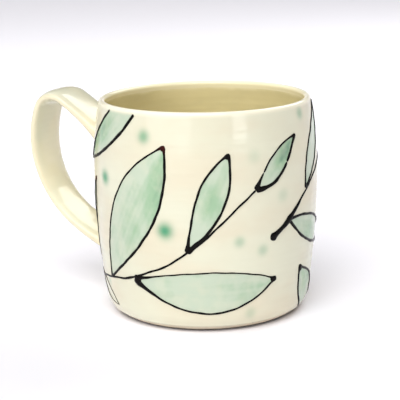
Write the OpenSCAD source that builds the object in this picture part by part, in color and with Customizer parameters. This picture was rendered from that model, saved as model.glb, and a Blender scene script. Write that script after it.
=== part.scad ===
// Stoneware mug: a wheel-thrown barrel cup with a pulled strap handle, glazed cream outside and
// tan inside, and decorated with leaf sprigs trailed in black slip.
//
// Millimetres, +Z up. The origin is the centre of the foot, on the plane that the mug stands on.
// The handle points along -X. Places on the wall are given as [angle, height]: the angle runs
// from the -Y side towards +X, in degrees, and the height is above the resting plane.

/* [Cup] */
// Height from the resting plane to the top of the lip
height = 88; // [84:1:92]
// Greatest width of the cup, at its belly
belly_d = 91.8; // [91:0.2:95]
// Height of the belly above the resting plane
belly_h = 58; // [54:1:61]
// Width across the mouth, outside the lip
mouth_d = 86.4; // [83:0.2:86.6]
// Width of the wall where it starts to round in to the foot
base_d = 84; // [83:0.2:86]
// Thickness of the wall at the belly
wall_t = 3.4; // [3:0.1:4]
// Thickness of the rounded lip
lip_t = 2.6; // [2.2:0.1:3]
// Height of the inside floor above the resting plane
floor_h = 5.5; // [5:0.5:8]
// Radius between the inside floor and the wall
floor_round_r = 12; // [8:1:16]

/* [Foot] */
// Height at which the wall starts to round in to the foot
foot_round_h = 7; // [6:0.5:8]
// Width of the foot where it touches the table
foot_d = 72.8; // [68:0.2:74]
// Width of the ring that the mug stands on
foot_ring_w = 5; // [4:0.5:8]
// Depth of the turned hollow inside that ring
foot_hollow = 1.2; // [0.6:0.1:2]

/* [Handle] */
// Width of the strap at its roots and over the top
strap_w = 22; // [18:0.5:24]
// Width at the strap's waist, low on its back
waist_w = 19.4; // [16:0.2:22]
// Thickness of the strap
strap_t = 5; // [4:0.5:6]
// Thickness of the strap at its roots
root_t = 8; // [7:0.5:9]
// Height at which the middle of the strap leaves the wall
root_h = 69; // [67:0.5:71]
// Angle above level at which the strap leaves the wall
root_rise = 48; // [46:1:50]
// Radius of the rising shoulder of the strap
shoulder_r = 88; // [70:1:110]
// Radius of the tight turn at the top of the strap
turn_r = 7.6; // [6.5:0.1:9]
// Radius of the back of the strap, where the fingers pull
back_r = 41; // [39:0.5:43]
// Radius of the tail that runs in to the lower joint
tail_r = 75; // [60:1:90]

/* [Handle joints] */
// How far each joint spreads round the strap, where it meets the wall
joint_spread = 2.4; // [1.2:0.1:3]

/* [Glaze] */
// Thickness of the glaze coat
glaze_t = 0.3; // [0.2:0.1:0.5]
// Height of the bare clay left above the resting plane
bare_h = 2.2; // [1.6:0.1:3]

/* [Slip lines] */
// Width of a trailed line, half-way along it
line_w = 0.9; // [0.7:0.1:1.4]
// Width of the blob of slip at the start of a line
blob_w = 2.2; // [1.4:0.1:3]
// How far the lines stand out of the glaze
line_h = 0.35; // [0.2:0.05:0.6]

/* [Hidden] */

$fn = 180;
// The large circles need finer facets, because the wall is only a short arc of each
LARGE_FN = 1080;

// The wall is two arcs that meet at the belly, with a vertical tangent there. Each circle below
// is [x of its centre, z of its centre, radius] in the half-plane through the axis.
lip_r = lip_t / 2;
lip = [mouth_d / 2 - lip_r, height - lip_r];
lip_rise = lip[1] - belly_h;
lip_set_in = belly_d / 2 - lip[0];
upper_r = (lip_set_in ^ 2 + lip_rise ^ 2 - lip_r ^ 2) / (2 * (lip_set_in - lip_r));
upper_circle = [belly_d / 2 - upper_r, belly_h, upper_r];

base_drop = belly_h - foot_round_h;
base_set_in = (belly_d - base_d) / 2;
lower_r = (base_drop ^ 2 + base_set_in ^ 2) / (2 * base_set_in);
lower_circle = [belly_d / 2 - lower_r, belly_h, lower_r];

// The foot is one arc, tangent to the wall and ending on the resting plane
base = [base_d / 2, foot_round_h];
base_dir = unit(base - centre(lower_circle));
foot_span = base - [foot_d / 2, 0];
foot_r = (foot_span * foot_span) / (2 * (base_dir * foot_span));
foot_centre = base - foot_r * base_dir;
foot_circle = [foot_centre[0], foot_centre[1], foot_r];

// The inside is one arc from the lip to the floor's rounding
inner_belly = belly_d / 2 - wall_t;
lip_step = inner_belly - lip[0];
inner_r = (lip_step ^ 2 + lip_rise ^ 2 - lip_r ^ 2) / (2 * (lip_r + lip_step));
inner_circle = [inner_belly - inner_r, belly_h, inner_r];
corner_h = floor_h + floor_round_r;
corner_reach = sqrt((inner_r - floor_round_r) ^ 2 - (belly_h - corner_h) ^ 2);
corner_circle = [inner_circle[0] + corner_reach, corner_h, floor_round_r];

// The strap's middle line is four arcs, all turning one way. Each is [radius, bend in degrees,
// steps]. The line starts and ends inside the wall: its first LEAD_STEPS steps, of a degree each,
// are there, and then it passes through a point that is ROOT_DEPTH in from the wall's face.
LEAD_STEPS = 6;
ROOT_DEPTH = 1.5;
STRAP_ARCS = [
    [shoulder_r, 16 + LEAD_STEPS, 16 + LEAD_STEPS], [turn_r, 100, 12],
    [back_r, 75.5, 12], [tail_r, 18, 16],
];
SHOULDER_CENTRE = [wall_r(root_h) - ROOT_DEPTH, root_h] - shoulder_r * turned(facing(root_rise));

// Where the waist is, and how far it spreads, as shares of the strap's length
WAIST_AT = 0.68;
WAIST_SPAN = 0.2;

// How steeply the strap thickens towards its roots
ROOT_POWER = 6;

// The strap's section is a superellipse, between an ellipse (2) and a rectangle
SECTION_POWER = 2.6;
SECTION_STEPS = 20;

// A joint covers this many steps of the strap outside the wall, and stands this far out of it at
// its thin end
JOINT_STEPS = 7;
JOINT_EDGE = 0.3;

// A stem is a list of [angle, height]. A leaf is [base angle, base height, tip angle, tip height]
// and then four bulges in mm: the left edge's near the base and near the tip, then the right
// edge's. Left and right are as seen from outside, with the tip upwards.
FRONT_STEM = [
    [-76, 13], [-58, 15.5], [-36, 18.3], [-21, 20.4], [-5, 25], [6, 29],
    [15, 34], [23.5, 39], [33, 46], [41, 52], [49.5, 57.5],
];
FRONT_LEAVES = [
    [-68, 14, -48.5, 58, 2, 8, 3, 2.5],
    [-62, 17, -34, 6.5, 5, 2.5, 4, 4],
    [-37, 18.3, 4.5, 75, 10.5, 15.5, 11.5, 17],
    [15, 34, 36, 72, 3, 9.5, 7.5, 9],
    [49.5, 57.5, 75.5, 76.5, 4, 6, 8, 3],
    [-16, 21, 62, 20.5, 5, 8.3, 13.5, 18.5],
];
RIGHT_STEM = [[58, 37], [64, 40.2], [70, 43.5], [82, 52], [101, 61], [120, 65], [138, 71]];
RIGHT_LEAVES = [
    [84, 54, 114, 90, 12, 4.5, 4.5, 4],
    [70, 43.5, 125, 28, 7.5, 5, 9.3, 6.5],
    [120, 65, 160, 50, 5, 7, 8, 6],
    [138, 71, 164, 82, 5, 5, 4, 6],
];
BACK_STEM = [[138, 12], [158, 19], [176, 30], [194, 42], [212, 53], [228, 61]];
BACK_LEAVES = [
    [158, 19, 172, 64, 8, 12, 10, 12],
    [176, 30, 216, 19, 6, 7, 8, 9],
    [194, 42, 204, 79, 6, 8, 6, 9],
    [212, 53, 246, 43, 5, 6, 5, 7],
    [228, 61, 246, 80, 4, 6, 6, 4],
];
LOOSE_LEAVES = [
    [-60, 64.5, -3, 100.5, 5.5, 5.5, 11, 10],
    [107, -7, 82, 22, 6, 10, 16, 8.5],
    [172, 75, 188, 100, 7, 8, 7, 8],
    [218, 9, 252, 11, 4, 4, 5, 6],
];
LEAF_STEPS = 11;

// A line's blob dies away over this share of its length
BLOB_LENGTH = 0.12;

// Depth to which a line is rooted in the glaze, and the width of its top as a share of its foot
LINE_ROOT = 0.15;
TOP_SHARE = 0.5;

// Leaf edges are drawn only between the lip's round and the bare clay
LINE_TOP_H = height - 2 * lip_t / 3;
LINE_BOTTOM_H = bare_h + 1;

CLAY = "linen";
GLAZE = "ivory";
LINER = "darkkhaki";
SLIP = "black";

function unit(v) = v / norm(v);
function centre(c) = [c[0], c[1]];
function turned(v) = [-v[1], v[0]];
function facing(a) = [cos(a), sin(a)];

// Radius of the finished wall at height h
function wall_r(h) =
    let (c = h > belly_h ? upper_circle : lower_circle)
    c[0] + sqrt(c[2] ^ 2 - (h - c[1]) ^ 2);

// A place [angle, height] on the finished wall, lifted outwards
function on_wall(place, lift) =
    let (r = wall_r(place[1]) + lift)
    [r * sin(place[0]), -r * cos(place[0]), place[1]];

// Conversion between [angle, height] and mm along and up the wall at its belly
WALL_MM = PI * belly_d / 360;
function unrolled(place) = [place[0] * WALL_MM, place[1]];
function rolled(flat) = [flat[0] / WALL_MM, flat[1]];

// One side of a leaf: side is 1 for the left edge and -1 for the right one
function leaf_edge(leaf, side) =
    let (
        from = unrolled([leaf[0], leaf[1]]),
        along = unrolled([leaf[2], leaf[3]]) - from,
        out = turned(unit(along)) * side,
        near_base = side > 0 ? leaf[4] : leaf[6],
        near_tip = side > 0 ? leaf[5] : leaf[7]
    )
    [
        for (i = [0:LEAF_STEPS])
        let (
            t = i / LEAF_STEPS,
            bulge = 3 * t * (1 - t) * ((1 - t) * near_base + t * near_tip),
            place = rolled(from + along * t + out * bulge)
        )
        if (place[1] < LINE_TOP_H && place[1] > LINE_BOTTOM_H) place
    ];

// Direction of a line at its point i, in mm along and up the wall
function line_dir(line, i) =
    let (a = max(i - 1, 0), b = min(i + 1, len(line) - 1))
    unit(unrolled(line[b]) - unrolled(line[a]));

function line_width(t) = line_w + (blob_w - line_w) * exp(-t / BLOB_LENGTH);

// The four corners of a line's section at point i: two rooted in the glaze and two on top
function line_ring(line, i) =
    let (
        across = turned(line_dir(line, i)) * line_width(i / (len(line) - 1)) / 2,
        here = unrolled(line[i])
    )
    [
        on_wall(rolled(here - across), -LINE_ROOT),
        on_wall(rolled(here - across * TOP_SHARE), line_h),
        on_wall(rolled(here + across * TOP_SHARE), line_h),
        on_wall(rolled(here + across), -LINE_ROOT),
    ];

// A solid through a list of rings, which all have the same number of points. It has two flat
// ends, or is closed on itself.
module tube(rings, closed = false) {
    n = len(rings[0]);
    count = len(rings);
    sides = [
        for (i = [0:closed ? count - 1 : count - 2], k = [0:n - 1])
        let (
            here = n * i,
            next = n * ((i + 1) % count),
            after = (k + 1) % n
        )
        each [[here + k, here + after, next + after], [here + k, next + after, next + k]]
    ];
    start = [for (k = [n - 1:-1:0]) k];
    end = [for (k = [0:n - 1]) n * (count - 1) + k];
    polyhedron([for (ring = rings) each ring], concat(sides, closed ? [] : [start, end]));
}

// A bead of slip trailed along a list of places
module slip_line(line) {
    tube([for (i = [0:len(line) - 1]) line_ring(line, i)]);
}

module sprig(stem, leaves) {
    union() {
        if (len(stem) > 1) slip_line(stem);
        for (leaf = leaves, side = [1, -1]) slip_line(leaf_edge(leaf, side));
    }
}

// One of the section's circles, with a coat put on. Only a short arc of the largest is used.
module disc(c, coat) {
    translate(centre(c)) circle(c[2] + coat, $fn = LARGE_FN);
}

// Everything inside the outer face of the wall, with a coat taken off that face
module outside(coat) {
    belly = belly_d / 2;
    intersection() {
        disc(upper_circle, -coat);
        translate([0, belly_h]) square([belly, height - belly_h]);
    }
    intersection() {
        disc(lower_circle, -coat);
        polygon([
            [0, belly_h], [belly, belly_h], foot_centre + belly * base_dir,
            foot_centre, [0, foot_centre[1]],
        ]);
    }
    intersection() {
        disc(foot_circle, -coat);
        square([belly, foot_centre[1] + foot_r]);
    }
    square([foot_centre[0], foot_centre[1]]);
}

// The hollow of the cup, with a coat taken off its wall and floor
module inside(coat) {
    corner = centre(corner_circle);
    reach = belly_d / 2;
    intersection() {
        disc(inner_circle, coat);
        polygon([
            [0, height], [reach, height],
            corner + reach * unit(corner - centre(inner_circle)), corner, [0, corner_h],
        ]);
    }
    intersection() {
        disc(corner_circle, coat);
        translate([corner[0], 0]) square([reach, height]);
    }
    translate([0, floor_h - coat]) square([corner[0], corner_h - floor_h + coat]);
}

// The part of the half-plane below the lip, cut where the lip's round meets the wall
module below_lip() {
    reach = belly_d / 2;
    polygon([
        [0, 0], [2 * reach, 0],
        lip + reach * unit(lip - centre(upper_circle)), lip,
        lip - lip[0] * unit(lip - centre(inner_circle)),
    ]);
}

// The cup's wall and floor in section, with a coat taken off every glazed face
module cup_section(coat) {
    difference() {
        intersection() {
            outside(coat);
            below_lip();
        }
        inside(coat);
    }
    difference() {
        translate(lip) circle(lip_r - coat);
        below_lip();
    }
}

// The glaze on one side of the top of the lip: side is 1 outside and -1 inside
module lip_glaze_section(side) {
    intersection() {
        difference() {
            translate(lip) circle(lip_r);
            translate(lip) circle(lip_r - glaze_t);
            below_lip();
        }
        translate([side > 0 ? lip[0] : 0, 0]) square([lip[0], height]);
    }
}

// Heading of the strap's middle line, in degrees above level, at the start of arc i
function heading(i) = i == 0 ? root_rise + LEAD_STEPS : heading(i - 1) - STRAP_ARCS[i - 1][1];

// Two arcs that meet have their centres on one line through the point where they do
function arc_centre(i) =
    i == 0
        ? SHOULDER_CENTRE
        : arc_centre(i - 1) + (STRAP_ARCS[i - 1][0] - STRAP_ARCS[i][0]) * turned(facing(heading(i)));

// Length of the strap's middle line before arc i
function length_to(i) =
    i == 0 ? 0 : length_to(i - 1) + STRAP_ARCS[i - 1][0] * STRAP_ARCS[i - 1][1] * PI / 180;
LEAD = shoulder_r * LEAD_STEPS * PI / 180;
STRAP_LENGTH = length_to(len(STRAP_ARCS)) - LEAD;

// Width and thickness of the strap at a share s of its length, leaving out the lead
function width_at(s) = strap_w - (strap_w - waist_w) * exp(-((s - WAIST_AT) / WAIST_SPAN) ^ 2);
function thickness_at(s) = strap_t + (root_t - strap_t) * (2 * s - 1) ^ ROOT_POWER;

function rounded(x) = sign(x) * abs(x) ^ (2 / SECTION_POWER);

// Stations along the strap's middle line, each as [place, heading, share of the length]
STATIONS = [
    for (i = [0:len(STRAP_ARCS) - 1])
    let (arc = STRAP_ARCS[i], finish = i == len(STRAP_ARCS) - 1 ? arc[2] : arc[2] - 1)
    for (k = [0:finish])
    let (bend = arc[1] * k / arc[2], a = heading(i) - bend)
    [
        arc_centre(i) + arc[0] * turned(facing(a)),
        a,
        max(0, length_to(i) + arc[0] * bend * PI / 180 - LEAD) / STRAP_LENGTH,
    ]
];

LAST_STATION = len(STATIONS) - 1;

// Each joint is [its deepest station, its station at the wall, its thin end's station]
UPPER_JOINT = [0, LEAD_STEPS, LEAD_STEPS + JOINT_STEPS];
LOWER_JOINT = [LAST_STATION, LAST_STATION, LAST_STATION - JOINT_STEPS];

// One ring round the strap: a flat superellipse across the middle line, spread outwards
function strap_ring(station, spread = 0) = [
    for (k = [0:SECTION_STEPS - 1])
    let (
        turn = 360 * k / SECTION_STEPS,
        thickness = thickness_at(station[2]) / 2 + spread,
        width = width_at(station[2]) / 2 + spread,
        at = station[0] + turned(facing(station[1])) * rounded(cos(turn)) * thickness
    )
    [-at[0], rounded(sin(turn)) * width, at[1]]
];

// One ring round a joint, at station i
function joint_ring(joint, i) =
    let (share = (i - joint[2]) / (joint[1] - joint[2]))
    strap_ring(STATIONS[i], JOINT_EDGE + joint_spread * share);

// The whole strap, with its ends reaching in to the wall
module strap() {
    tube([for (station = STATIONS) strap_ring(station)]);
}

// The space that a joint takes up, with the strap inside it
module flare(joint) {
    hull() tube([joint_ring(joint, min(joint)), joint_ring(joint, max(joint))]);
}

// A collar of clay smeared round the strap, from inside the wall outwards
module collar(joint) {
    steps = [min(joint):max(joint)];
    inner = [for (i = steps) strap_ring(STATIONS[i])];
    outer = [for (i = steps) joint_ring(joint, i)];
    tube(
        [
            for (k = [0:SECTION_STEPS - 1])
            concat(
                [for (ring = inner) ring[k]],
                [for (i = [len(outer) - 1:-1:0]) outer[i][k]]
            )
        ],
        closed = true
    );
}

// The cup's clay as if it were solid, which the handle and its joints are cut to fit
module filled_cup() {
    rotate_extrude() outside(glaze_t);
}

module cup_body() {
    hollow_r = foot_d / 2 - foot_ring_w;
    color(CLAY) difference() {
        rotate_extrude() cup_section(glaze_t);
        translate([0, 0, -foot_hollow]) cylinder(h = 2 * foot_hollow, r = hollow_r);
    }
}

module handle() {
    color(CLAY) difference() {
        strap();
        filled_cup();
    }
}

module upper_joint() {
    color(CLAY) difference() {
        collar(UPPER_JOINT);
        filled_cup();
    }
}

module lower_joint() {
    color(CLAY) difference() {
        collar(LOWER_JOINT);
        filled_cup();
    }
}

module outer_glaze() {
    color(GLAZE) difference() {
        rotate_extrude() {
            intersection() {
                difference() {
                    outside(0);
                    outside(glaze_t);
                }
                below_lip();
                translate([0, bare_h]) square([belly_d, height]);
            }
            lip_glaze_section(1);
        }
        flare(UPPER_JOINT);
        flare(LOWER_JOINT);
    }
}

module liner_glaze() {
    color(LINER) rotate_extrude() {
        intersection() {
            difference() {
                inside(glaze_t);
                inside(0);
            }
            below_lip();
        }
        lip_glaze_section(-1);
    }
}

module front_sprig() {
    color(SLIP) sprig(FRONT_STEM, FRONT_LEAVES);
}

module right_sprig() {
    color(SLIP) sprig(RIGHT_STEM, RIGHT_LEAVES);
}

module back_sprig() {
    color(SLIP) sprig(BACK_STEM, BACK_LEAVES);
}

module loose_leaves() {
    color(SLIP) sprig([], LOOSE_LEAVES);
}

cup_body();
handle();
upper_joint();
lower_joint();
outer_glaze();
liner_glaze();
front_sprig();
right_sprig();
back_sprig();
loose_leaves();
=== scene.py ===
"""The looks of a hand-thrown stoneware mug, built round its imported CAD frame.

The cup, its two glazes, the pulled handle and the trailed slip lines are built as meshes here, in
place of the plain CAD solids. Lengths are in millimetres in the row frame, and every mesh is made
in metres at the end. A place on the wall is (angle, height), as in the CAD source: the angle runs
from the -Y side towards +X, in degrees, and the height is above the table. The handle is at -X.
"""

import math

import bmesh
import bpy
import numpy as np
from mathutils import Matrix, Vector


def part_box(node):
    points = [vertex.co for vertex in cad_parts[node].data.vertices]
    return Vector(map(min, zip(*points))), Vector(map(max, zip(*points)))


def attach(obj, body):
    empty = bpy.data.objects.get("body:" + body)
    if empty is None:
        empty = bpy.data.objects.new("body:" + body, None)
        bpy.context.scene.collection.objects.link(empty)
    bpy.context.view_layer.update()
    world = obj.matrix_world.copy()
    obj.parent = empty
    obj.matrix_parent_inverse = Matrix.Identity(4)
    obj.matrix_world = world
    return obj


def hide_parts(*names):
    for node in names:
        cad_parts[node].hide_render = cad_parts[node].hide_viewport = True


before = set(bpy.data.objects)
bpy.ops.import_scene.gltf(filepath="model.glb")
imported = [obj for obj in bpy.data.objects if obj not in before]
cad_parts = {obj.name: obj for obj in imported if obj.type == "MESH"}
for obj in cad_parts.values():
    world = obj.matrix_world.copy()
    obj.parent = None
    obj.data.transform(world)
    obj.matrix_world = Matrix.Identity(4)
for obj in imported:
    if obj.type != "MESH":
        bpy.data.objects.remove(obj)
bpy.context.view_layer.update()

# ---------------------------------------------------------------- sizes, in millimetres

MM = 0.001
GLAZE_LOW, GLAZE_HIGH = (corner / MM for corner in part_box("outer_glaze"))
LINER_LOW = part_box("liner_glaze")[0] / MM

HEIGHT = GLAZE_HIGH.z
BELLY_R = GLAZE_HIGH.x
BARE_H = GLAZE_LOW.z
GLAZE_T = 0.3
FLOOR_H = LINER_LOW.z + GLAZE_T

# The wall's belly, lip, base and foot, and the hollow and rounding of the floor
BELLY_H = 58
WALL_T = 3.4
LIP_R = 1.3
MOUTH_R = 43.2
BASE_R = 42
FOOT_ROUND_H = 7
FOOT_R = 36.4
RING_W = 5
HOLLOW = 1.2
FLOOR_ROUND_R = 12

# The strap's middle line: (radius, bend in degrees) of each arc, all turning one way
STRAP_ARCS = [(88, 16), (7.6, 100), (41, 75.5), (75, 18)]
ROOT_H = 69
ROOT_RISE = 48
ROOT_DEPTH = 1.5
STRAP_W = 22
WAIST_W = 19.4
STRAP_T = 5
ROOT_T = 8

# The concave fillet at each root: how far it reaches along the strap and along the wall
FILLET_ALONG = 4.5
FILLET_SPREAD = 2.8

# ---------------------------------------------------------------- decoration

# A stem is a list of places. A leaf is its base and tip, and how far each edge bulges in mm,
# near the base and near the tip. Ink is the width in mm of its left line, its right line and
# the blobs of slip at its base and tip. Pool is where the green is deepest: a share of the way
# to the tip, a share of the way across from the right edge, and how deep. Reach is how many mm
# the slip pooled at the base runs up each line, web how many mm of the corner between them it
# fills, nicks are where the glaze broke each line, as shares of their length, and wash is how
# strong the green is.
FRONT_STEM = [
    (-76, 13), (-58, 15.5), (-36, 18.3), (-21, 20.4), (-5, 25), (6, 29),
    (15, 34), (23.5, 39), (33, 46), (41, 52), (49.5, 57.5),
]
RIGHT_STEM = [(58, 37), (64, 40.2), (70, 43.5), (82, 52), (101, 61), (120, 65), (138, 71)]
BACK_STEM = [(138, 12), (158, 19), (176, 30), (194, 42), (212, 53), (228, 61)]


def leaf(base, tip, left, right, ink=(0.8, 0.9, 1.6, 1.6), pool=(0.6, 0.4, 0.4), **extra):
    """One leaf of the tables below."""
    shape = {"base": base, "tip": tip, "left": left, "right": right, "ink": ink, "pool": pool}
    return shape | {"reach": (2.2, 2.2), "web": 0, "nicks": (), "wash": 1, **extra}


FRONT_LEAVES = [
    leaf((-68, 14), (-48.5, 58), (2, 8), (3, 2.5), (0.5, 0.5, 0.8, 1.5)),
    leaf((-62, 17), (-34, 6.5), (5, 2.5), (4, 4), (0.13, 0.13, 0.2, 0.2), (0.3, 0.5, 0), wash=0.2),
    leaf(
        (-37, 18.3), (4.5, 75), (10.5, 15.5), (11.5, 17), (0.75, 1.1, 1.8, 2), (0.78, 0.1, 0.7),
        web=1.2,
    ),
    leaf(
        (15, 34), (36, 72), (3, 9.5), (7.5, 9), (0.9, 1, 3.3, 2.1), (0.62, 0.4, 0.5),
        reach=(3.6, 8), web=2.8,
    ),
    leaf(
        (49.5, 57.5), (75.5, 76.5), (4, 6), (8, 3), (0.75, 1.2, 3.2, 2), (0.7, 0.5, 1.1),
        reach=(3.4, 5.5), web=2.6, nicks=(0.25, 0.62),
    ),
    leaf(
        (-16, 21), (62, 20.5), (5, 8.3), (13.5, 18.5), (0.6, 0.85, 3.9, 2.7), (0.9, 0.5, 0.3),
        reach=(5, 8), web=3.6,
    ),
]
RIGHT_LEAVES = [
    leaf(
        (84, 54), (114, 90), (12, 4.5), (4.5, 4), (0.9, 0.7, 2, 1.5), (0.6, 0.5, 0.4),
        reach=(3, 5),
    ),
    leaf(
        (70, 43.5), (125, 28), (7.5, 5), (9.3, 6.5), (1.1, 1.2, 2.2, 1.5), (0.4, 0.4, 0.6),
        reach=(3, 3), web=2,
    ),
    leaf((120, 65), (160, 50), (5, 7), (8, 6), web=1.5),
    leaf((138, 71), (164, 82), (5, 5), (4, 6), (0.8, 1, 2.3, 1.8), (0.7, 0.4, 0.9)),
]
BACK_LEAVES = [
    leaf((158, 19), (172, 64), (8, 12), (10, 12), (0.8, 1, 1.7, 2), (0.7, 0.2, 0.7)),
    leaf((176, 30), (216, 19), (6, 7), (8, 9), (0.8, 0.9, 2.4, 1.9), (0.5, 0.5, 0.3)),
    leaf((194, 42), (204, 79), (6, 8), (6, 9), (0.8, 1, 2.5, 2), (0.6, 0.2, 0.5), web=3.5),
    leaf((212, 53), (246, 43), (5, 6), (5, 7), (0.8, 0.9, 2.3, 1.7), (0.6, 0.5, 0.4)),
    leaf((228, 61), (246, 80), (4, 6), (6, 4), (0.8, 1.1, 2.5, 2), (0.7, 0.4, 1), web=3),
]
LOOSE_LEAVES = [
    leaf((-60, 64.5), (-3, 100.5), (5.5, 5.5), (11, 10), (1.1, 1.35, 1.7, 1.2), (0.22, 0.75, 1)),
    leaf((107, -7), (82, 22), (6, 10), (16, 8.5), (1.1, 1, 1, 2.8), (0.7, 0.4, 0.5)),
    leaf((172, 75), (188, 100), (7, 8), (7, 8), (0.9, 1, 1.9, 1), (0.3, 0.5, 0.5)),
    leaf((218, 9), (252, 11), (4, 4), (5, 6), (0.7, 0.9, 1.9, 1.9), (0.6, 0.5, 0.5)),
]

# Soft green dots: angle, height, radius and strength
DOTS = [
    (-6.6, 78.4, 2.5, 0.7), (-35, 59.8, 2.7, 0.95), (4.4, 42.5, 3.1, 1),
    (41, 37.8, 2.1, 0.4), (53.7, 33.3, 2.2, 0.36), (83, 84, 2.2, 0.5),
    (49, 70.5, 2.6, 0.16), (65.4, 53.9, 2.6, 0.2), (48, 7.6, 2.4, 0.26),
    (-42.4, 15.5, 1.8, 0.3), (150, 60, 2.8, 0.8), (185, 15, 2.4, 0.5),
    (215, 70, 2.6, 0.7), (236, 26, 3, 0.95), (110, 75, 2.4, 0.4),
]

# Lines and washes stay between these heights
LINE_TOP_H = 86.6
LINE_BOTTOM_H = BARE_H + 1
WASH_TOP = (LINE_TOP_H - 1.2, LINE_TOP_H + 0.3)
WASH_BOTTOM = (LINE_BOTTOM_H - 0.5, LINE_BOTTOM_H + 1.5)

# How many mm of wall one degree takes up
WALL_MM = math.pi * BELLY_R / 180

# ---------------------------------------------------------------- the cup's section


def unit(vector):
    return vector / np.linalg.norm(vector)


LIP = np.array([MOUTH_R - LIP_R, HEIGHT - LIP_R])


def wall_circles():
    """Centre and radius of the wall's upper, lower and foot arcs, its inside and its corner."""
    rise = LIP[1] - BELLY_H
    set_in = BELLY_R - LIP[0]
    upper_r = (set_in**2 + rise**2 - LIP_R**2) / (2 * (set_in - LIP_R))
    drop = BELLY_H - FOOT_ROUND_H
    base_set_in = BELLY_R - BASE_R
    lower_r = (drop**2 + base_set_in**2) / (2 * base_set_in)
    lower = np.array([BELLY_R - lower_r, BELLY_H])
    base = np.array([BASE_R, FOOT_ROUND_H])
    base_dir = unit(base - lower)
    span = base - (FOOT_R, 0)
    foot_r = span @ span / (2 * base_dir @ span)
    inner_belly = BELLY_R - WALL_T
    step = inner_belly - LIP[0]
    inner_r = (step**2 + rise**2 - LIP_R**2) / (2 * (LIP_R + step))
    corner_h = FLOOR_H + FLOOR_ROUND_R
    reach = math.sqrt((inner_r - FLOOR_ROUND_R) ** 2 - (BELLY_H - corner_h) ** 2)
    return {
        "upper": (np.array([BELLY_R - upper_r, BELLY_H]), upper_r),
        "lower": (lower, lower_r),
        "foot": (base - foot_r * base_dir, foot_r),
        "inner": (np.array([inner_belly - inner_r, BELLY_H]), inner_r),
        "corner": (np.array([inner_belly - inner_r + reach, corner_h]), FLOOR_ROUND_R),
    }


CIRCLES = wall_circles()


def wall_r(height):
    """Radius of the finished wall at a height above the foot's round."""
    upper, upper_r = CIRCLES["upper"]
    lower, lower_r = CIRCLES["lower"]
    above = upper[0] + np.sqrt(upper_r**2 - (height - BELLY_H) ** 2)
    below = lower[0] + np.sqrt(lower_r**2 - (height - BELLY_H) ** 2)
    foot, foot_r = CIRCLES["foot"]
    drop = np.clip(foot[1] - height, 0, foot_r)
    rounded = foot[0] + np.sqrt(foot_r**2 - drop**2)
    wall = np.where(height > BELLY_H, above, below)
    return np.where(height > FOOT_ROUND_H, wall, rounded)


def arc(centre, start, end, step):
    """Points from start to end round centre, the short way, with start left out."""
    radius = np.linalg.norm(start - centre)
    first = math.atan2(start[1] - centre[1], start[0] - centre[0])
    last = math.atan2(end[1] - centre[1], end[0] - centre[0])
    turn = (last - first + math.pi) % (2 * math.pi) - math.pi
    count = max(2, math.ceil(abs(turn) * radius / step))
    angles = first + turn * np.arange(1, count + 1) / count
    return centre + radius * np.stack([np.cos(angles), np.sin(angles)], 1)


def outer_face(step):
    """The finished outside of the cup, from the table to the outer edge of the lip."""
    contact = np.array([FOOT_R, 0.0])
    base = np.array([BASE_R, FOOT_ROUND_H])
    belly = np.array([BELLY_R, BELLY_H])
    lip_edge = LIP + LIP_R * unit(LIP - CIRCLES["upper"][0])
    return np.concatenate([
        contact[None],
        arc(CIRCLES["foot"][0], contact, base, step / 2),
        arc(CIRCLES["lower"][0], base, belly, step),
        arc(CIRCLES["upper"][0], belly, lip_edge, step),
    ])


def lip_face(step):
    """The round of the lip, from its outer edge to its inner one."""
    outer_edge = LIP + LIP_R * unit(LIP - CIRCLES["upper"][0])
    inner_edge = LIP - LIP_R * unit(LIP - CIRCLES["inner"][0])
    top = LIP + (0, LIP_R)
    return np.concatenate([arc(LIP, outer_edge, top, step), arc(LIP, top, inner_edge, step)])


def inner_face(step):
    """The inside of the cup, from the lip's inner edge to the middle of the floor."""
    lip_edge = LIP - LIP_R * unit(LIP - CIRCLES["inner"][0])
    corner = CIRCLES["corner"][0]
    corner_top = corner + FLOOR_ROUND_R * unit(corner - CIRCLES["inner"][0])
    corner_end = np.array([corner[0], FLOOR_H])
    radii = np.linspace(corner[0], 0, math.ceil(corner[0] / step) + 1)[1:]
    return np.concatenate([
        arc(CIRCLES["inner"][0], lip_edge, corner_top, step),
        arc(corner, corner_top, corner_end, step),
        np.stack([radii, np.full(len(radii), FLOOR_H)], 1),
    ])


def sunk(line, depth):
    """A line in the section, moved to its left by a depth: one number, or one for each point."""
    along = np.gradient(line, axis=0)
    along /= np.linalg.norm(along, axis=1)[:, None]
    left = np.stack([-along[:, 1], along[:, 0]], 1)
    moved = line + left * np.broadcast_to(depth, len(line))[:, None]
    moved[:, 0] = np.where(line[:, 0] < 1e-6, 0, np.maximum(moved[:, 0], 0))
    return moved


def length_along(line):
    """Distance of each point from the line's start, along the line."""
    steps = np.linalg.norm(np.diff(line, axis=0), axis=1)
    return np.concatenate([[0], np.cumsum(steps)])


# ---------------------------------------------------------------- the hand of the maker

# Throwing rings: pitch and depth. Lobes of the wall: how many, how far out, and where they start.
RING_PITCHES = [(5.4, 0.028), (2.7, 0.014), (1.8, 0.006)]
LOBES = [(2, 0.10, 0.7), (3, 0.06, 2.1)]
LIP_DIP = 0.12
SHARP_EDGE = math.radians(50)


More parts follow.
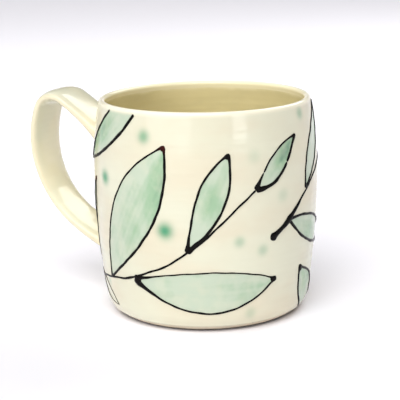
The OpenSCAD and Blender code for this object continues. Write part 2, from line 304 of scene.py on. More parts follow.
def hand_thrown(points):
    """Points with the unevenness of a cup thrown by hand: rings that climb as a spiral, a wall
    that isn't quite round and a lip that isn't quite level."""
    x, y, z = points.T
    radius = np.hypot(x, y)
    angle = np.arctan2(x, -y)
    fade = np.clip((z - 5) / 10, 0, 1) * np.clip((HEIGHT - 1 - z) / 8, 0, 1)
    swell = sum(
        depth * np.sin(2 * math.pi * z / pitch + angle + 1.3 * np.sin(z / 17 + pitch))
        for pitch, depth in RING_PITCHES
    )
    lobe = sum(size * np.sin(count * angle + phase) for count, size, phase in LOBES)
    share = np.clip(z / HEIGHT, 0, 1)
    moved = radius + np.where(radius > 1, fade * swell + share * lobe, 0)
    scale = moved / np.maximum(radius, 1e-6)
    level = share**4 * np.clip(radius / MOUTH_R, 0, 1) * LIP_DIP * np.sin(2 * angle + 1.9)
    return np.stack([x * scale, y * scale, z + level], 1)


def make_piece(name, points, faces, stands_for, material):
    """A smooth closed mesh, in metres, riding on the mug's one body."""
    mesh = bpy.data.meshes.new(name)
    mesh.from_pydata((hand_thrown(points) * MM).tolist(), [], faces)
    shape = bmesh.new()
    shape.from_mesh(mesh)
    bmesh.ops.recalc_face_normals(shape, faces=shape.faces)
    shape.to_mesh(mesh)
    shape.free()
    mesh.shade_smooth()
    mesh.set_sharp_from_angle(angle=SHARP_EDGE)
    mesh.materials.append(material)
    piece = bpy.data.objects.new(name, mesh)
    bpy.context.scene.collection.objects.link(piece)
    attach(piece, "root")
    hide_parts(*stands_for)
    return piece


def add_attribute(piece, name, values):
    """One number for each point of a piece, which its material can read."""
    attribute = piece.data.attributes.new(name, "FLOAT", "POINT")
    attribute.data.foreach_set("value", values.astype(np.float32))


def lathe(profile, steps):
    """Points and faces of a section turned round the axis. A section that starts on the axis
    ends on it too, and any other one is closed on itself."""
    on_axis = profile[0][0] < 1e-6
    rings = profile[1:-1] if on_axis else profile
    count = len(rings)
    angles = 2 * math.pi * np.arange(steps) / steps
    ring = np.stack([np.sin(angles), -np.cos(angles)], 1)
    points = np.empty((count, steps, 3))
    points[:, :, :2] = rings[:, None, :1] * ring[None]
    points[:, :, 2] = rings[:, 1:]
    points = points.reshape(-1, 3)
    here = np.arange(steps)
    after = (here + 1) % steps
    faces = []
    for i in range(count - 1 if on_axis else count):
        low, high = i * steps, (i + 1) % count * steps
        faces += np.stack([low + here, low + after, high + after, high + here], 1).tolist()
    if on_axis:
        ends = [(0, 0, profile[0][1]), (0, 0, profile[-1][1])]
        points = np.concatenate([points, ends])
        first, last = count * steps, (count - 1) * steps
        faces += [[first, i, (i + 1) % steps] for i in range(steps)]
        faces += [[first + 1, last + i, last + (i + 1) % steps] for i in range(steps)]
    return points, faces


def joined_rings(count, size, start=0):
    """Faces between rings of points that follow each other, each ring closed on itself."""
    faces = []
    for i in range(count - 1):
        for k in range(size):
            here, after = start + i * size + k, start + i * size + (k + 1) % size
            faces.append([here, after, after + size, here + size])
    return faces


# ---------------------------------------------------------------- materials


class Shader:
    """A material with one Principled shader, and short calls that add nodes to it."""

    def __init__(self, name, **values):
        """Values are the shader's own sockets, with _ for each space in a socket's name."""
        self.material = bpy.data.materials.new(name)
        self.material.use_nodes = True
        self.tree = self.material.node_tree
        self.main = self.tree.nodes["Principled BSDF"]
        for socket, value in values.items():
            self.main.inputs[socket.replace("_", " ")].default_value = value

    def node(self, kind, inputs=None, **settings):
        """A new node. Each of its inputs is given another node's socket or a value."""
        made = self.tree.nodes.new(kind)
        for name, value in settings.items():
            setattr(made, name, value)
        for socket, value in (inputs or {}).items():
            if isinstance(value, bpy.types.NodeSocket):
                self.tree.links.new(value, made.inputs[socket])
            else:
                made.inputs[socket].default_value = value
        return made

    def place(self, stretch=(1, 1, 1)):
        """Object coordinates, stretched."""
        coordinates = self.node("ShaderNodeTexCoord").outputs["Object"]
        inputs = {"Vector": coordinates, "Scale": stretch}
        return self.node("ShaderNodeMapping", inputs).outputs["Vector"]

    def height(self):
        """Height above the table."""
        return self.node("ShaderNodeSeparateXYZ", {"Vector": self.place()}).outputs["Z"]

    def reach(self):
        """Distance from the cup's axis."""
        inputs = {0: self.place((1, 1, 0))}
        return self.node("ShaderNodeVectorMath", inputs, operation="LENGTH").outputs["Value"]

    def noise(self, scale, detail=3, stretch=(1, 1, 1), roughness=0.5):
        inputs = {
            "Vector": self.place(stretch),
            "Scale": scale,
            "Detail": detail,
            "Roughness": roughness,
        }
        return self.node("ShaderNodeTexNoise", inputs).outputs["Fac"]

    def attribute(self, name):
        return self.node("ShaderNodeAttribute", attribute_name=name).outputs["Fac"]

    def ranged(self, value, from_low, from_high, low=0.0, high=1.0):
        """A value eased from one range to another, and held at its ends."""
        inputs = {
            "Value": value,
            "From Min": from_low,
            "From Max": from_high,
            "To Min": low,
            "To Max": high,
        }
        made = self.node("ShaderNodeMapRange", inputs, interpolation_type="SMOOTHSTEP")
        return made.outputs["Result"]

    def math(self, operation, first, second):
        made = self.node("ShaderNodeMath", {0: first, 1: second}, operation=operation)
        return made.outputs["Value"]

    def mix(self, share, first, second):
        inputs = {"Factor": share, 6: first, 7: second}
        return self.node("ShaderNodeMix", inputs, data_type="RGBA").outputs[2]

    def feed(self, socket, value):
        self.tree.links.new(value, self.main.inputs[socket])

    def bump(self, height, distance):
        """Relief of the surface, with a distance in mm."""
        inputs = {"Height": height, "Distance": distance * MM, "Strength": 1.0}
        self.feed("Normal", self.node("ShaderNodeBump", inputs).outputs["Normal"])


def colour(red, green, blue):
    """A colour given as it looks, from 0 to 255, as the shader's linear light."""
    shares = np.array([red, green, blue]) / 255
    linear = np.where(shares < 0.04045, shares / 12.92, ((shares + 0.055) / 1.055) ** 2.4)
    return (*linear, 1.0)


CREAM = colour(223, 222, 198)
WARM_CREAM = colour(222, 214, 188)
# Painted highlight: the top of the lip is painted paler than the cream, as if lit from above
LIT_LIP_CREAM = colour(252, 246, 222)
# The lip's inner side: partly the cream glaze lapped over the liner, partly painted light, lighter
# and yellower
INNER_LIP_CREAM_AND_LIGHT = colour(255, 246, 208)
STRAP_CREAM = colour(234, 226, 196)
STRAP_EDGE = colour(236, 222, 186)
PALE_TAN = colour(233, 221, 171)
TAN = colour(221, 209, 160)
PALE_CLAY = colour(218, 206, 184)
WARM_CLAY = colour(204, 190, 166)
# Painted contact shadow round the foot's edge, where it meets the table
CONTACT_SHADOW_CLAY = colour(92, 78, 62)
CLAY_SPECK = colour(98, 78, 60)
SLIP_BLACK = colour(7, 7, 7)
SLIP_BROWN = colour(20, 18, 16)
SLIP_RED = colour(58, 18, 13)
TABLE_WHITE = colour(252, 250, 255)
PALE_GREEN = colour(192, 205, 182)
MID_GREEN = colour(153, 186, 150)
DEEP_GREEN = colour(112, 152, 122)
DOT_GREEN = colour(80, 156, 114)


def cream_colour(shader):
    """Cream glaze: a little warmer where it lies thin, with painted light that makes the lip's top
    paler, and the lip's inner side yellower, partly lapped glaze and partly painted light."""
    patches = shader.ranged(shader.noise(28, 3, (1, 1, 1.8)), 0.35, 0.7)
    height = shader.height()
    # Painted highlight on the top of the lip
    lip = shader.ranged(height, (HEIGHT - 2.5) * MM, HEIGHT * MM)
    outside = shader.mix(lip, shader.mix(patches, CREAM, WARM_CREAM), LIT_LIP_CREAM)
    # The lip's inner side: partly lapped cream glaze, partly painted light
    within = shader.ranged(shader.reach(), (LIP[0] - LIP_R) * MM, LIP[0] * MM, 1, 0)
    high = shader.ranged(height, (HEIGHT - 2 * LAP) * MM, (HEIGHT - LAP) * MM)
    return shader.mix(shader.math("MULTIPLY", within, high), outside, INNER_LIP_CREAM_AND_LIGHT)


def glossy_surface(shader):
    """The gloss of a fired glaze: slightly uneven, and rippled like the skin of an orange."""
    shader.feed("Roughness", shader.ranged(shader.noise(60, 4), 0.3, 0.7, 0.1, 0.2))
    ripple = shader.noise(260, 2, (1, 1, 0.7))
    swell = shader.noise(75, 1)
    shader.bump(shader.math("ADD", ripple, shader.math("MULTIPLY", swell, 2.5)), 0.03)


def decorated_glaze():
    """The outside of the cup: cream, with watery green in the leaves and soft green dots."""
    shader = Shader("decorated_glaze", IOR=1.52)
    water = shader.noise(110, 4, (1, 1, 0.6))
    pool = shader.math("ADD", shader.attribute("pool"), shader.ranged(water, 0.3, 0.75, -0.2, 0.22))
    pale = shader.mix(shader.ranged(pool, -0.05, 0.6), PALE_GREEN, MID_GREEN)
    green = shader.mix(shader.ranged(pool, 0.55, 1.1), pale, DEEP_GREEN)
    uneven = shader.ranged(shader.noise(150, 3), 0.3, 0.6, 0.78, 1)
    wash = shader.math("MULTIPLY", shader.attribute("wash"), uneven)
    washed = shader.mix(wash, cream_colour(shader), green)
    shader.feed("Base Color", shader.mix(shader.attribute("dot"), washed, DOT_GREEN))
    glossy_surface(shader)
    return shader.material


def strap_glaze():
    """The handle: the same glaze, a little thinner and warmer along the strap's edges."""
    shader = Shader("strap_glaze", IOR=1.52)
    uneven = shader.ranged(shader.noise(28, 3), 0.35, 0.7)
    cream = shader.mix(uneven, STRAP_CREAM, CREAM)
    shader.feed("Base Color", shader.mix(shader.attribute("edge"), cream, STRAP_EDGE))
    glossy_surface(shader)
    return shader.material


def liner_glaze():
    """The inside: a tan glaze that thins to cream at the lip, with an uneven edge; that cream is
    painted lighter and yellower as painted light.
    """
    shader = Shader("liner_glaze", IOR=1.52)
    drips = shader.math("MULTIPLY", shader.noise(70, 3, (1, 1, 0.25)), 3 * MM)
    level = shader.math("ADD", shader.height(), drips)
    thick = shader.ranged(level, (HEIGHT - 2.7) * MM, (HEIGHT - 0.1) * MM, 1, 0)
    clouds = shader.ranged(shader.noise(35, 4, (1, 1, 2.5)), 0.3, 0.7)
    tan = shader.mix(clouds, PALE_TAN, TAN)
    # At the lip: partly the cream glaze, partly painted light
    shader.feed("Base Color", shader.mix(thick, INNER_LIP_CREAM_AND_LIGHT, tan))
    glossy_surface(shader)
    return shader.material


def bare_clay():
    """Fired clay with no glaze: matt and fine-grained, with the odd dark speck, and a painted
    contact shadow, dark brown, round the outer edge of the foot where it meets the table."""
    shader = Shader("bare_clay")
    grain = shader.noise(900, 5, roughness=0.7)
    warm = shader.mix(shader.noise(45, 3), PALE_CLAY, WARM_CLAY)
    speck = shader.ranged(shader.noise(620, 2), 0.68, 0.74)
    # Painted contact shadow: dark brown on the lowest 1.5 mm of the foot's outer edge
    low = shader.ranged(shader.height(), 0.2 * MM, 1.5 * MM, 1, 0)
    outer = shader.ranged(shader.reach(), (FOOT_R - 1) * MM, FOOT_R * MM)
    contact_shadowed = shader.mix(shader.math("MULTIPLY", low, outer), warm, CONTACT_SHADOW_CLAY)
    shader.feed("Base Color", shader.mix(speck, contact_shadowed, CLAY_SPECK))
    shader.feed("Roughness", shader.ranged(grain, 0.2, 0.8, 0.72, 0.95))
    shader.bump(grain, 0.08)
    return shader.material


def black_slip():
    """Slip trailed in a bead: near black, and iron red where it has pooled thickest."""
    shader = Shader("black_slip", IOR=1.5, Specular_IOR_Level=0.08)
    thin = shader.mix(shader.noise(300, 3), SLIP_BLACK, SLIP_BROWN)
    shader.feed("Base Color", shader.mix(shader.attribute("iron"), thin, SLIP_RED))
    shader.feed("Roughness", shader.ranged(shader.noise(500, 3), 0.3, 0.7, 0.22, 0.42))
    shader.bump(shader.noise(700, 3), 0.04)
    return shader.material


# ---------------------------------------------------------------- the cup

# Steps round the wall, and the size of a step along its section. Of the faces that the glaze
# hides, only every HIDDEN_SKIPth step is kept.
WALL_STEPS = 640
WALL_STEP = 0.5
HIDDEN_SKIP = 8
CLAY_STEPS = 360
CLAY_SKIP = 6
CLAY_LIP_STEP = 0.4
WALL_TOP_H = 86

# How far the clay's fine part runs up under the glaze, and how far its foot's edge is lifted
UNDER_GLAZE = 1.5
FOOT_LIFT = 0.12

# The cream glaze starts above the foot in a rolled edge with a bead. Inside the lip it sinks
# by LAP_DROP over the last LAP mm, and the liner rises over it and ends just proud of it.
EDGE_ROLL = 0.6
EDGE_BEAD = 0.1
LAP = 2.4
LAP_DROP = 0.03
LINER_PROUD = 0.015

# How far a pool of green spreads, as shares of a leaf's length and of its width
POOL_LENGTH = 0.3
POOL_WIDTH = 0.45

# The marks of the turning tool under the foot: their spacing, pitch and depth
TURNED_STEP = 0.45
TURNED_PITCH = 2.1
TURNED_DEPTH = 0.05


def leaf_frame(shape):
    """Base of a leaf, direction and length of its middle line and direction to its left, on the
    wall unrolled in mm."""
    base = np.array([shape["base"][0] * WALL_MM, shape["base"][1]])
    tip = np.array([shape["tip"][0] * WALL_MM, shape["tip"][1]])
    length = np.linalg.norm(tip - base)
    along = (tip - base) / length
    return base, along, length, np.array([-along[1], along[0]])


def bulge(pair, share):
    """How far a leaf's edge stands off its middle line, at a share of the way to the tip."""
    share = np.clip(share, 0, 1)
    return 3 * share * (1 - share) * ((1 - share) * pair[0] + share * pair[1])


def smooth(value, low, high):
    """0 below low, 1 above high, and eased between them."""
    share = np.clip((value - low) / (high - low), 0, 1)
    return share * share * (3 - 2 * share)


def wall_places(points):
    """Each point of the wall as mm along and up it, with the angle from -180 to 180 degrees."""
    angle = np.degrees(np.arctan2(points[:, 0], -points[:, 1]))
    return np.stack([angle * WALL_MM, points[:, 2]], 1)


def offset_from(places, origin):
    """From an origin to each place, the short way round the wall."""
    offset = places - origin
    turn = 360 * WALL_MM
    offset[:, 0] = (offset[:, 0] + turn / 2) % turn - turn / 2
    return offset


def wash_of(shape, places):
    """How much of the leaf's green is at each place, and how deeply it has pooled there."""
    base, along, length, left = leaf_frame(shape)
    offset = offset_from(places, base)
    share = offset @ along / length
    across = offset @ left
    to_left = bulge(shape["left"], share) - across
    to_right = across + bulge(shape["right"], share)
    inside = smooth(np.minimum(to_left, to_right), -0.15, 0.5) * (share > 0) * (share < 1)
    width = np.maximum(to_left + to_right, 0.1)
    at_share, at_across, depth = shape["pool"]
    spot = ((share - at_share) / POOL_LENGTH) ** 2
    spot += ((to_right / width - at_across) / POOL_WIDTH) ** 2
    streaks = 0.05 * np.sin(across * 1.3 + 4 * share) + 0.03 * np.sin(across * 2.9 - 6 * share)
    return inside * shape["wash"], depth * np.exp(-spot) + streaks


def paint_wall(piece, points):
    """Puts the leaves' washes and the dots on the wall as attributes for its material."""
    places = wall_places(points)
    wash = np.zeros(len(points))
    pool = np.zeros(len(points))
    for shape in FRONT_LEAVES + RIGHT_LEAVES + BACK_LEAVES + LOOSE_LEAVES:
        inside, depth = wash_of(shape, places)
        pool = np.where(inside > wash, depth, pool)
        wash = np.maximum(wash, inside)
    wash *= smooth(points[:, 2], *WASH_BOTTOM)
    wash *= 1 - smooth(points[:, 2], *WASH_TOP)
    dots = np.zeros(len(points))
    for angle, height, radius, strength in DOTS:
        offset = offset_from(places, (angle * WALL_MM, height))
        away = np.hypot(*offset.T) / radius
        dots = np.maximum(dots, strength * np.exp(-(away**2.4) * 0.9))
    wall = wall_r(np.clip(points[:, 2], 0, WALL_TOP_H))
    outside = np.hypot(points[:, 0], points[:, 1]) > wall - 0.1
    add_attribute(piece, "wash", wash * outside)
    add_attribute(piece, "pool", pool)
    add_attribute(piece, "dot", dots * outside)


def build_outer_glaze():
    """The cream glaze outside: from a rolled edge above the foot, over the lip and a little way
    in, where it sinks under the liner."""
    inside = inner_face(WALL_STEP / 2)
    lap = inside[length_along(inside) < LAP]
    face = np.concatenate([outer_face(WALL_STEP), lip_face(WALL_STEP / 3), lap])
    face = face[face[:, 1] > BARE_H]
    from_edge = length_along(face)
    to_end = from_edge[-1] - from_edge
    thickness = GLAZE_T * np.sqrt(np.clip(from_edge / EDGE_ROLL, 0, 1))
    thickness += EDGE_BEAD * np.exp(-(((from_edge - 1.5 * EDGE_ROLL) / EDGE_ROLL) ** 2))
    thickness -= LAP_DROP * (1 - smooth(to_end, 0, LAP))
    back = sunk(face, GLAZE_T)
    skin = sunk(back, -thickness)
    hidden = back[::-HIDDEN_SKIP]
    points, faces = lathe(np.concatenate([skin, hidden]), WALL_STEPS)
    material = decorated_glaze()
    piece = make_piece("glazed_wall", points, faces, ["outer_glaze"], material)
    paint_wall(piece, points)


def build_liner():
    """The glaze inside the cup: from its edge on the cream glaze to the middle of the floor."""
    face = inner_face(WALL_STEP)
    proud = LINER_PROUD - (LAP_DROP + LINER_PROUD) * (1 - smooth(length_along(face), 0, LAP))
    skin = sunk(face, -proud)
    back = sunk(face, GLAZE_T)
    profile = np.concatenate([skin[::-1], back[:-1:HIDDEN_SKIP], back[-1:]])
    points, faces = lathe(profile, WALL_STEPS)
    make_piece("glazed_inside", points, faces, ["liner_glaze"], liner_glaze())


def underside(hollow_r):
    """Section of the turned hollow under the cup, its rounded step and the ring round it."""
    radii = np.arange(0, hollow_r - 0.8, TURNED_STEP)
    fade = np.clip(radii / 4, 0, 1)
    marks = HOLLOW + TURNED_DEPTH * np.sin(2 * math.pi * radii / TURNED_PITCH) * fade
    step = [(hollow_r - 0.5, HOLLOW - 0.05), (hollow_r - 0.12, HOLLOW - 0.35)]
    step += [(hollow_r, 0.6), (hollow_r + 0.12, 0.22), (hollow_r + 0.4, 0.03)]
    ring = [(hollow_r + width, 0.0) for width in (0.9, 2.5, 4.1)]
    return np.concatenate([np.stack([radii, marks], 1), step, ring])


def build_clay():
    """The clay body: bare on the foot and underneath, and hidden by glaze elsewhere."""
    skin = sunk(outer_face(WALL_STEP), GLAZE_T)
    skin[:, 1] = np.maximum(skin[:, 1], 0)
    foot = skin[skin[:, 1] < BARE_H + UNDER_GLAZE]
    foot[0] = (foot[0][0], FOOT_LIFT)
    hidden = np.concatenate([skin[len(foot):], sunk(lip_face(CLAY_LIP_STEP), GLAZE_T)])
    inside = sunk(inner_face(WALL_STEP), GLAZE_T)
    bottom = underside(FOOT_R - RING_W)
    parts = [bottom, foot, hidden[::CLAY_SKIP], inside[:-1:HIDDEN_SKIP], inside[-1:]]
    points, faces = lathe(np.concatenate(parts), CLAY_STEPS)
    make_piece("clay_body", points, faces, ["cup_body"], bare_clay())


# ---------------------------------------------------------------- the handle

# The strap's section is a superellipse. It has FREE_ROWS rings of points between its fillets.
SECTION_POINTS = 56
SECTION_POWER = 2.5
FREE_ROWS = 170
FILLET_ROWS = 12
FINE_ROWS = 900

# The waist, as shares of the strap's length, and how steeply the strap thickens to its roots
WAIST_AT = 0.68
WAIST_SPAN = 0.2
ROOT_POWER = 6
ROOT_LEAD = 6

# How a strap pulled by hand wavers in width and in thickness: by how much, how fast, from where
WIDTH_WAVER = (0.25, 9, 0.6)
THICKNESS_WAVER = (0.12, 14, 2)

# How far the skin's edge sinks into the wall, and how its two ends close inside the wall
LANDING_DEPTH = 0.04
CAP_IN = 0.93
STRAP_LENGTH = sum(radius * math.radians(bend) for radius, bend in STRAP_ARCS)


def strap_middle(distance):
    """Distance out from the axis, height and heading of the strap's middle line, which runs on
    straight past its two ends, inside the wall."""
    place = np.array([float(wall_r(ROOT_H)) - ROOT_DEPTH, ROOT_H])
    heading = math.radians(ROOT_RISE)
    if distance < 0:
        return place + distance * np.array([math.cos(heading), math.sin(heading)]), heading
    for radius, bend in STRAP_ARCS:
        normal = np.array([-math.sin(heading), math.cos(heading)])
        centre = place - radius * normal
        turn = min(distance / radius, math.radians(bend))
        heading -= turn
        place = centre + radius * np.array([-math.sin(heading), math.cos(heading)])
        distance -= turn * radius
    return place + distance * np.array([math.cos(heading), math.sin(heading)]), heading


def pulled_waver(share, size, rate, start):
    """What a waver adds at a share of the strap's length."""
    return size * math.sin(rate * share + start)


def strap_section(distance):
    """One ring of points round the strap."""
    place, heading = strap_middle(distance)
    share = min(max(distance / STRAP_LENGTH, 0), 1)
    width = STRAP_W - (STRAP_W - WAIST_W) * math.exp(-(((share - WAIST_AT) / WAIST_SPAN) ** 2))
    width += pulled_waver(share, *WIDTH_WAVER)
    thickness = STRAP_T + (ROOT_T - STRAP_T) * (2 * share - 1) ** ROOT_POWER
    thickness += pulled_waver(share, *THICKNESS_WAVER)
    turn = 2 * math.pi * np.arange(SECTION_POINTS) / SECTION_POINTS
    power = 2 / SECTION_POWER
    out = np.sign(np.cos(turn)) * np.abs(np.cos(turn)) ** power * thickness / 2
    side = np.sign(np.sin(turn)) * np.abs(np.sin(turn)) ** power * width / 2
    reach = place[0] - math.sin(heading) * out
    height = place[1] + math.cos(heading) * out
    return np.stack([-reach, side, height], 1)


def clearance(points):
    """How far points stand out of the finished wall."""
    return np.hypot(points[..., 0], points[..., 1]) - wall_r(points[..., 2])


def fillet(root, corner, middle):
    """Rows of points that curve from a root ring on the strap to the wall round it. Corner is
    where the strap would meet the wall, and middle the point at the strap's middle there."""
    outward = corner - middle
    normal = corner * (1, 1, 0)
    normal /= np.linalg.norm(normal, axis=1)[:, None]
    outward -= (outward * normal).sum(1)[:, None] * normal
    outward /= np.linalg.norm(outward, axis=1)[:, None]
    landing = corner + outward * FILLET_SPREAD
    flat = np.hypot(landing[:, 0], landing[:, 1])
    landing[:, :2] *= ((wall_r(landing[:, 2]) - LANDING_DEPTH) / flat)[:, None]
    shares = np.linspace(0, 1, FILLET_ROWS)[:, None, None]
    return (1 - shares) ** 2 * landing + 2 * shares * (1 - shares) * corner + shares**2 * root


def build_strap():
    """The pulled strap with its two roots smoothed into the wall, as one skin."""
    fine = np.linspace(-ROOT_LEAD, STRAP_LENGTH + ROOT_LEAD, FINE_ROWS)
    rings = np.array([strap_section(distance) for distance in fine])
    outside = clearance(rings) > 0
    half = len(fine) // 2
    starts = np.array([fine[:half][~outside[:half, k]].max() for k in range(SECTION_POINTS)])
    ends = np.array([fine[half:][~outside[half:, k]].min() for k in range(SECTION_POINTS)])

    def column_points(distances):
        """The point of each column of the strap at its own distance along it."""
        index = np.interp(distances, fine, np.arange(len(fine)))
        low = np.minimum(index.astype(int), len(fine) - 2)
        share = (index - low)[:, None]
        columns = np.arange(SECTION_POINTS)
        return rings[low, columns] * (1 - share) + rings[low + 1, columns] * share

    first = starts + FILLET_ALONG
    last = ends - FILLET_ALONG
    free = [column_points(first + (last - first) * t) for t in np.linspace(0, 1, FREE_ROWS)]
    corner_low, corner_high = column_points(starts), column_points(ends)
    upper = fillet(free[0], corner_low, corner_low.mean(0))
    lower = fillet(free[-1], corner_high, corner_high.mean(0))[::-1]
    rows = np.concatenate([upper[:-1], free, lower[1:]])
    caps = [row.mean(0) * (CAP_IN, 1, 1) for row in (rows[0], rows[-1])]
    points = np.concatenate([rows.reshape(-1, 3), caps])
    faces = joined_rings(len(rows), SECTION_POINTS)
    end = (len(rows) - 1) * SECTION_POINTS
    for k in range(SECTION_POINTS):
        after = (k + 1) % SECTION_POINTS
        faces.append([len(points) - 2, k, after])
        faces.append([len(points) - 1, end + k, end + after])
    nodes = ["handle", "upper_joint", "lower_joint"]
    piece = make_piece("strap_handle", points, faces, nodes, strap_glaze())
    turn = 2 * math.pi * np.arange(SECTION_POINTS) / SECTION_POINTS
    edge = np.tile(smooth(np.abs(np.sin(turn)), 0.85, 1), len(rows))
    add_attribute(piece, "edge", np.concatenate([edge * 0.6, [0, 0]]))


# ---------------------------------------------------------------- the slip lines

# A bead's section is a dome of DOME_POINTS on a foot that is LINE_DEPTH down in the glaze. The
# dome rises by DOME_RISE and a share DOME_SHARE of its width.
DOME_POINTS = 9
DOME_RISE = 0.2
DOME_SHARE = 0.16
LINE_DEPTH = 0.12

TRAIL_STEP = 0.35
LEAF_POINTS = 80
STEM_POINTS = 12
STEM_W = 0.85
FIRED_SPREAD = 1.03

# A line trailed by hand wavers this much in width and to the side, in waves this long
HAND_WAVER = 0.13
WIDTH_WAVE = 6
SIDE_WAVE = 11

# How a leaf's blobs share their ink: into the lines that meet there, and into a dab of their
# own at the tip where they are at least DAB_FROM wide
BASE_SWELL = 0.75
TIP_SWELL = 0.8
TIP_REACH = 1.6
DAB_FROM = 1.3
DAB_BACK = 0.3
DAB_W = 0.85
DAB_LENGTH = 1.2

NICK_MM = 0.4
NICK_DEPTH = 0.9
RED_MM = 2


def resampled(line):
    """A line with its points TRAIL_STEP apart."""
    distance = length_along(line)
    count = max(4, round(distance[-1] / TRAIL_STEP))
    at = np.linspace(0, distance[-1], count + 1)
    return np.stack([np.interp(at, distance, line[:, i]) for i in (0, 1)], 1)


def leaf_edge(shape, side):
    """One edge of a leaf in mm along and up the wall: side is 1 for left and -1 for right."""
    base, along, length, left = leaf_frame(shape)
    share = np.linspace(0, 1, LEAF_POINTS)[:, None]
    pair = shape["left"] if side > 0 else shape["right"]
    line = base + along * length * share + left * side * bulge(pair, share)
    kept = (line[:, 1] < LINE_TOP_H) & (line[:, 1] > LINE_BOTTOM_H)
    return resampled(line[kept])


def stem_line(places):
    """A smooth line through a stem's places."""
    knots = np.array([(angle * WALL_MM, height) for angle, height in places])
    knots = np.concatenate([[2 * knots[0] - knots[1]], knots, [2 * knots[-1] - knots[-2]]])
    share = np.linspace(0, 1, STEM_POINTS, endpoint=False)[:, None]
    line = []
    for a, b, c, d in zip(knots, knots[1:], knots[2:], knots[3:]):
        bend = 2 * a - 5 * b + 4 * c - d
        twist = 3 * b - a - 3 * c + d
        line.append(b + 0.5 * share * ((c - a) + share * (bend + share * twist)))
    return resampled(np.concatenate([*line, knots[-2:-1]]))


def wavering(distance, random, wave):
    """A smooth wander between about -1 and 1 along a line, with waves of about that length."""
    phases = random.uniform(0, 2 * math.pi, 3)
    turns = distance * 2 * math.pi
    first, second, third = (np.sin(turns / (wave * k) + p) for k, p in zip((1, 1.7, 0.6), phases))
    return (first + 0.8 * second + 0.5 * third) / 2.3


def swelling(away, extra, reach):
    """Extra width of a line at each distance away from a pool of slip."""
    return max(extra, 0) * np.exp(-((np.abs(away) / reach) ** 1.5))


def bead(line, widths, random):
    """Rings of points of one trailed bead, rounded at both ends, with a width in mm at each
    point of its line."""
    distance = length_along(line)
    left = distance[-1] - distance
    widths = widths * FIRED_SPREAD * (1 + HAND_WAVER * wavering(distance, random, WIDTH_WAVE))
    reach = np.minimum(distance, left) / (widths / 2)
    rounding = np.sqrt(np.clip(1 - (1 - np.clip(reach, 0, 1)) ** 2, 0.02, 1))
    along = np.gradient(line, axis=0)
    along /= np.linalg.norm(along, axis=1)[:, None]
    across = np.stack([-along[:, 1], along[:, 0]], 1)
    middle = line + across * (HAND_WAVER * wavering(distance, random, SIDE_WAVE))[:, None]
    turn = math.pi * np.arange(DOME_POINTS) / (DOME_POINTS - 1)
    side = np.concatenate([np.cos(turn), [-0.7, 0.7]])
    lift = np.concatenate([np.sin(turn) ** 0.9, [0, 0]])
    height = (DOME_RISE + DOME_SHARE * widths) * rounding
    spread = side * 0.5 * (widths * rounding)[:, None]
    flat = middle[:, None] + across[:, None] * spread[..., None]
    out = wall_r(flat[..., 1]) - LINE_DEPTH + lift * (height[:, None] + LINE_DEPTH)
    out[:, -2:] -= LINE_DEPTH
    angle = np.radians(flat[..., 0] / WALL_MM)
    return np.stack([out * np.sin(angle), -out * np.cos(angle), flat[..., 1]], 2)


def dab(place, along, width, length, random):
    """A round pool of slip, longer one way than the other."""
    line = resampled(np.stack([place - along * length / 2, place + along * length / 2]))
    return bead(line, np.full(len(line), width), random)


def stem_bead(places, width, pools, random):
    """The bead of a stem, with pools of slip, each at one of its places: (index, width, reach)."""
    line = stem_line(places)
    distance = length_along(line)
    widths = np.full(len(line), width)
    for index, pool_w, reach in pools:
        place = np.array([places[index][0] * WALL_MM, places[index][1]])
        middle = max(distance[np.linalg.norm(line - place, axis=1).argmin()], pool_w / 2)
        widths += swelling(distance - middle, pool_w - width, reach)
    return bead(line, widths, random)


def web_bead(shape, random):
    """The slip that fills the corner between a leaf's two lines at its base."""
    base, along, length, left = leaf_frame(shape)
    distance = np.arange(0, shape["web"], TRAIL_STEP)
    to_left = bulge(shape["left"], distance / length)
    to_right = bulge(shape["right"], distance / length)
    line = base + along * distance[:, None] + left * ((to_left - to_right) / 2)[:, None]
    return bead(line, to_left + to_right + 0.5 * shape["ink"][0], random)


def leaf_beads(shape, random):
    """The two lines of a leaf and the pools of slip at its base and tip."""
    base, along, length, _ = leaf_frame(shape)
    tip = base + along * length
    left_w, right_w, base_w, tip_w = shape["ink"]
    made = []
    for side, width, reach in ((1, left_w, shape["reach"][0]), (-1, right_w, shape["reach"][1])):
        line = leaf_edge(shape, side)
        distance = length_along(line)
        to_base = np.linalg.norm(line - base, axis=1)
        to_tip = np.linalg.norm(line - tip, axis=1)
        widths = width + swelling(to_base, BASE_SWELL * base_w - width, reach)
        widths += swelling(to_tip, TIP_SWELL * tip_w - width, TIP_REACH)
        if shape["nicks"]:
            at = shape["nicks"][side < 0] * distance[-1]
            widths *= 1 - NICK_DEPTH * np.exp(-(((distance - at) / NICK_MM) ** 2))
        made.append(bead(line, widths, random))
    tip_pool = tip - along * DAB_BACK * tip_w
    if tip_w > DAB_FROM and LINE_BOTTOM_H < tip_pool[1] < LINE_TOP_H:
        made.append(dab(tip_pool, along, DAB_W * tip_w, DAB_LENGTH * tip_w, random))
    if shape["web"]:
        made.append(web_bead(shape, random))
    return made


